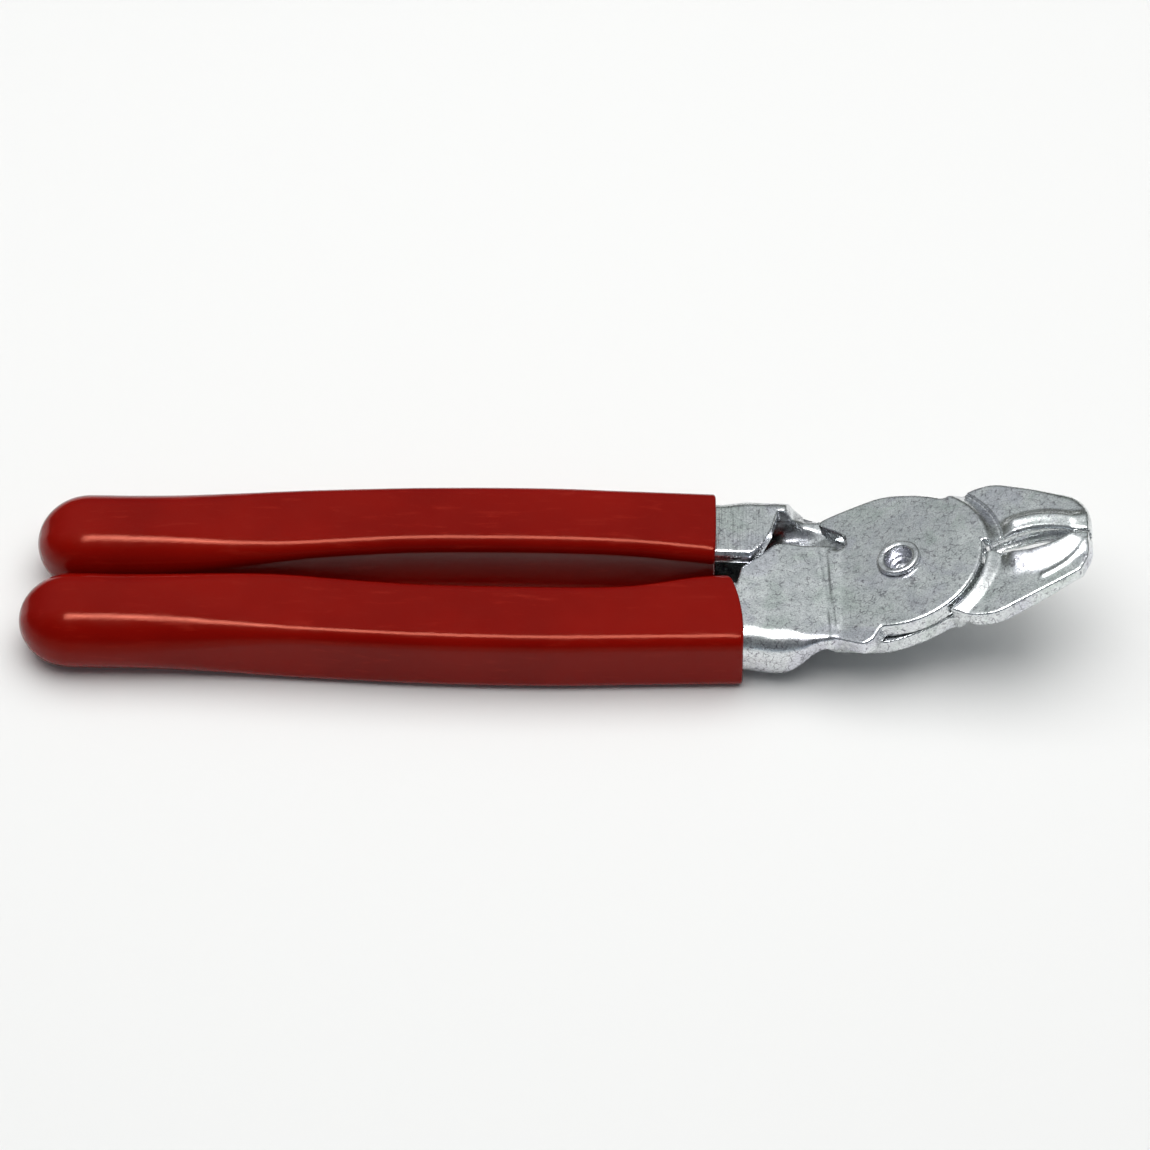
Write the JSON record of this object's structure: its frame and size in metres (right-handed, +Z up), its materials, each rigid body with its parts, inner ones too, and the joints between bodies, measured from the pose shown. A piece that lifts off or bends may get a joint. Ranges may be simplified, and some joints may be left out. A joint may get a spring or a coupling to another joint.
{
  "type": "fencing pliers",
  "caption": "Hog-ring fencing pliers with angled grooved jaws, folded sheet-steel levers on a pivot rivet and dipped red vinyl grips.",
  "frame": {"origin": "under the middle of the closed pliers' box, on the surface they lie on", "axes": "+X along the pliers towards the jaws, +Y across the handles towards the rear lever's handle, +Z up from the surface they lie on"},
  "size_m": [0.2034, 0.0406, 0.0259],
  "materials": {
    "zinc_plate": "zinc plated, satin, faintly mottled",
    "rivet_steel": "bright",
    "red_vinyl": "glossy dipped vinyl"
  },
  "bodies": {
    "rear_half": {"rear_lever": "zinc_plate", "rear_grip": "red_vinyl", "pivot_rivet": "rivet_steel"},
    "front_half": {"front_lever": "zinc_plate", "front_grip": "red_vinyl"}
  },
  "joints": [
    {"name": "pivot", "type": "hinge", "parent": "rear_half", "child": "front_half", "pos_m": [0.0662, 0, 0.01313], "axis": [-0.2974, 0, 0.9548], "range_deg": [0, 45]}
  ]
}
